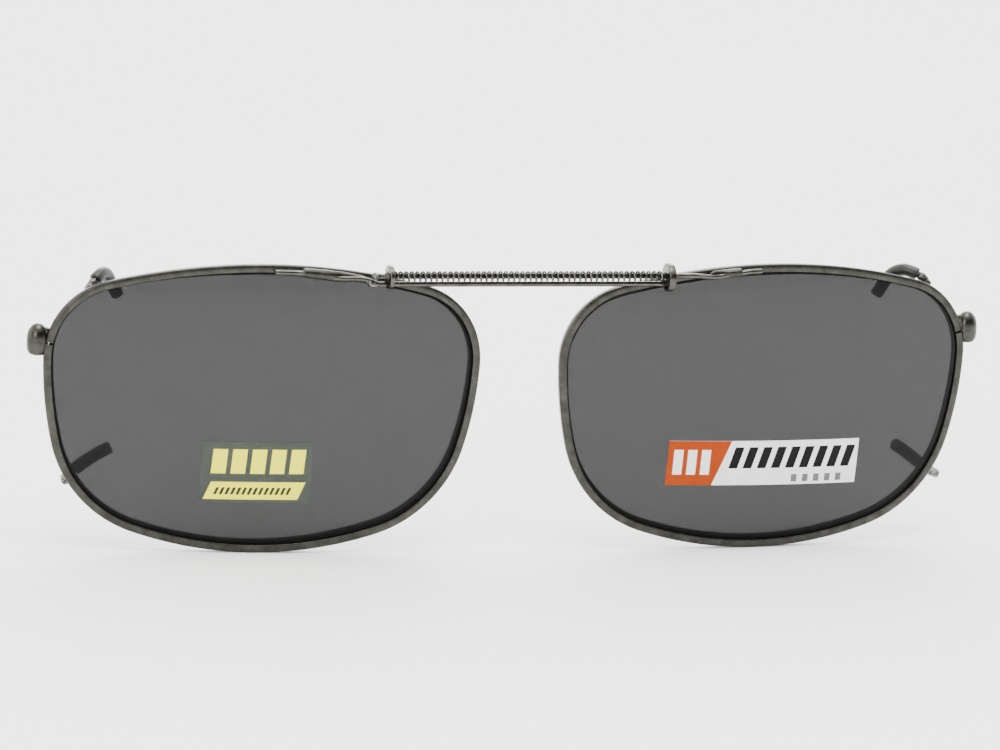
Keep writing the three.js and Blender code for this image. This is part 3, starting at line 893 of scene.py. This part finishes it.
def make_foot(path, side, name):
    """The solder that holds a claw's foot on the rim."""

    def lumps(angles, distance):
        return 1 + 0.06 * np.sin(2 * angles + 5 * distance) + 0.04 * np.sin(3 * angles - 8 * distance)

    length = lengths_along(path)[-1]
    swells = [(-0.35, 0.3), (-0.25, 0.5), (-0.05, 0.64), (0.2, 0.68), (0.45, 0.66)]
    taper = [(s, 0.62) for s in np.linspace(0.6, max(length - 0.3, 0.7), 5)]
    end = taper[-1][0]
    stations = swells + taper + [(end + 0.1, 0.57), (end + 0.16, 0.5), (end + 0.2, 0.44)]
    points, faces = tube(path, stations, 20, lumps)
    make_piece(f"{name}_solder", points, faces, FRECKLED, f"{side}_half")


# ---- stickers ----


def make_sticker(side, sticker, material):
    """A thin film on the lens, with a map that runs from 0 to 1 across and up as seen from the front."""
    columns, rows = 48, 16
    lift, thick = 0.05, 0.08
    front = -(LENS_THICKNESS / 2 + lift + thick)
    across = np.linspace(-0.5, 0.5, columns + 1)
    up = np.linspace(-0.5, 0.5, rows + 1)
    flat = []
    cos, sin = math.cos(sticker["tilt"]), math.sin(sticker["tilt"])
    for depth in (front, front + thick):
        for b in up:
            for a in across:
                x, z = a * sticker["width"], b * sticker["height"]
                flat.append((sticker["u"] + x * cos + z * sin, depth, sticker["w"] + z * cos - x * sin))
    stride = columns + 1
    sheet = stride * (rows + 1)
    faces = []
    for layer in (0, sheet):
        for j in range(rows):
            for i in range(columns):
                a = layer + j * stride + i
                faces.append((a, a + 1, a + stride + 1, a + stride))
    ring = list(range(columns))
    ring += [j * stride + columns for j in range(rows)]
    ring += [rows * stride + i for i in range(columns, 0, -1)]
    ring += [j * stride for j in range(rows, 0, -1)]
    for a, b in zip(ring, ring[1:] + ring[:1]):
        faces.append((a, b, b + sheet, a + sheet))
    placed = place(flat, side)
    name = f"{side}_lens_label"
    label = make_piece(name, placed, faces, material, f"{side}_half", [f"{side}_lens_sticker"], 30)
    layer = label.data.uv_layers.new(name="UVMap")
    for loop in label.data.loops:
        row, column = divmod(loop.vertex_index % sheet, stride)
        share = column / columns
        layer.data[loop.index].uv = (1 - share if side == "left" else share, row / rows)


# ---- the object ----

for side in ("left", "right"):
    make_rim(side)
    make_lens(side)
    make_blocks(side)
    make_necks(side)
    make_claw(UPPER_CLAW, side, "upper_claw", CLAW_METAL)
    make_claw(LOWER_CLAW, side, "lower_claw", CLAW_METAL)
    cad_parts[f"{side}_closing_screw"].data.materials.clear()
    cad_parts[f"{side}_closing_screw"].data.materials.append(BRIGHT)

make_left_wire()
make_right_wire()
make_collar()
make_jog_solder()
make_plate("left_bridge_plate", LEFT_PLATE, "right_half", "left_end_plate")
make_plate("right_bridge_plate", RIGHT_PLATE, "left_half", "right_end_plate")
make_spring()
make_sticker("left", CLEAR_STICKER, clear_label("clear_film"))
make_sticker("right", WHITE_STICKER, white_label("white_film"))

# ---- studio ----


def make_floor():
    """A wide pale floor at the lowest point of the CAD, in metres."""
    size = 6
    mesh = bpy.data.meshes.new("floor")
    low = float(cad_box[0][2])
    corners = [(-size, -size, low), (size, -size, low), (size, size, low), (-size, size, low)]
    mesh.from_pydata(corners, [], [(0, 1, 2, 3)])
    mesh.materials.append(floor_paint("pale_floor"))
    floor = bpy.data.objects.new("floor", mesh)
    bpy.context.scene.collection.objects.link(floor)


def make_light(name, place_at, size, watts):
    """A square softbox that faces the object."""
    light = bpy.data.lights.new(name, "AREA")
    light.shape = "SQUARE"
    light.size = size
    light.energy = watts
    lamp = bpy.data.objects.new(name, light)
    lamp.location = place_at
    lamp.rotation_mode = "QUATERNION"
    lamp.rotation_quaternion = (-Vector(place_at)).to_track_quat("-Z", "Y")
    bpy.context.scene.collection.objects.link(lamp)


def make_camera():
    """The camera stands to the left and above, rolled a little, far enough back for a long lens."""
    azimuth, elevation, roll = (math.radians(a) for a in (-17.84, 13.94, -4.14))
    distance = 1.1118
    flat = math.cos(elevation)
    back = Vector((math.sin(azimuth) * flat, -math.cos(azimuth) * flat, math.sin(elevation)))
    level = Vector((math.cos(azimuth), math.sin(azimuth), 0))
    upright = back.cross(level)
    right = level * math.cos(roll) - upright * math.sin(roll)
    up = level * math.sin(roll) + upright * math.cos(roll)
    aim = Vector((0, LENS_FRONT_Y, 0)) * MM - right * 2.35 * MM + up * 4.43 * MM
    data = bpy.data.cameras.new("camera")
    data.sensor_width = 36
    data.lens = 309.5
    camera = bpy.data.objects.new("camera", data)
    turn = Matrix((right, up, back)).transposed().to_4x4()
    camera.matrix_world = Matrix.Translation(aim + back * distance) @ turn
    bpy.context.scene.collection.objects.link(camera)
    bpy.context.scene.camera = camera


def make_world():
    """A pale dome and horizon, with a dark band above the horizon on the front side."""
    world = bpy.data.worlds.new("studio")
    world.use_nodes = True
    nodes = world.node_tree.nodes
    links = world.node_tree.links
    axes = nodes.new("ShaderNodeSeparateXYZ")
    links.new(nodes.new("ShaderNodeTexCoord").outputs["Generated"], axes.inputs[0])

    def ramp(source, steps):
        node = nodes.new("ShaderNodeValToRGB")
        links.new(source, node.inputs["Fac"])
        elements = node.color_ramp.elements
        while len(elements) < len(steps):
            elements.new(0.5)
        for element, (place_at, grey) in zip(elements, steps):
            element.position = place_at
            element.color = (grey, grey, grey, 1)
        return node.outputs["Color"]

    dark_band = [(0.0, 0.3), (0.1, 0.25), (0.2, 0.01), (0.5, 0.01), (0.72, 0.4), (1.0, 0.5)]
    front = ramp(axes.outputs["Z"], dark_band)
    back = ramp(axes.outputs["Z"], [(0.0, 0.8), (0.5, 0.9), (1.0, 0.5)])
    side = nodes.new("ShaderNodeMapRange")
    links.new(axes.outputs["Y"], side.inputs["Value"])
    side.inputs["From Min"].default_value = -0.45
    side.inputs["From Max"].default_value = 0.1
    mix = nodes.new("ShaderNodeMix")
    mix.data_type = "RGBA"
    links.new(side.outputs[0], mix.inputs[0])
    links.new(front, mix.inputs[6])
    links.new(back, mix.inputs[7])
    background = nodes["Background"]
    links.new(mix.outputs[2], background.inputs["Color"])
    background.inputs["Strength"].default_value = 5
    bpy.context.scene.world = world


make_floor()
make_light("overhead", (0.0, -0.1, 0.9), 0.5, 10)
make_light("front_left", (-0.9, -0.9, 0.5), 0.5, 10)
make_light("back", (0.3, 0.9, 0.7), 0.6, 10)
make_camera()
make_world()
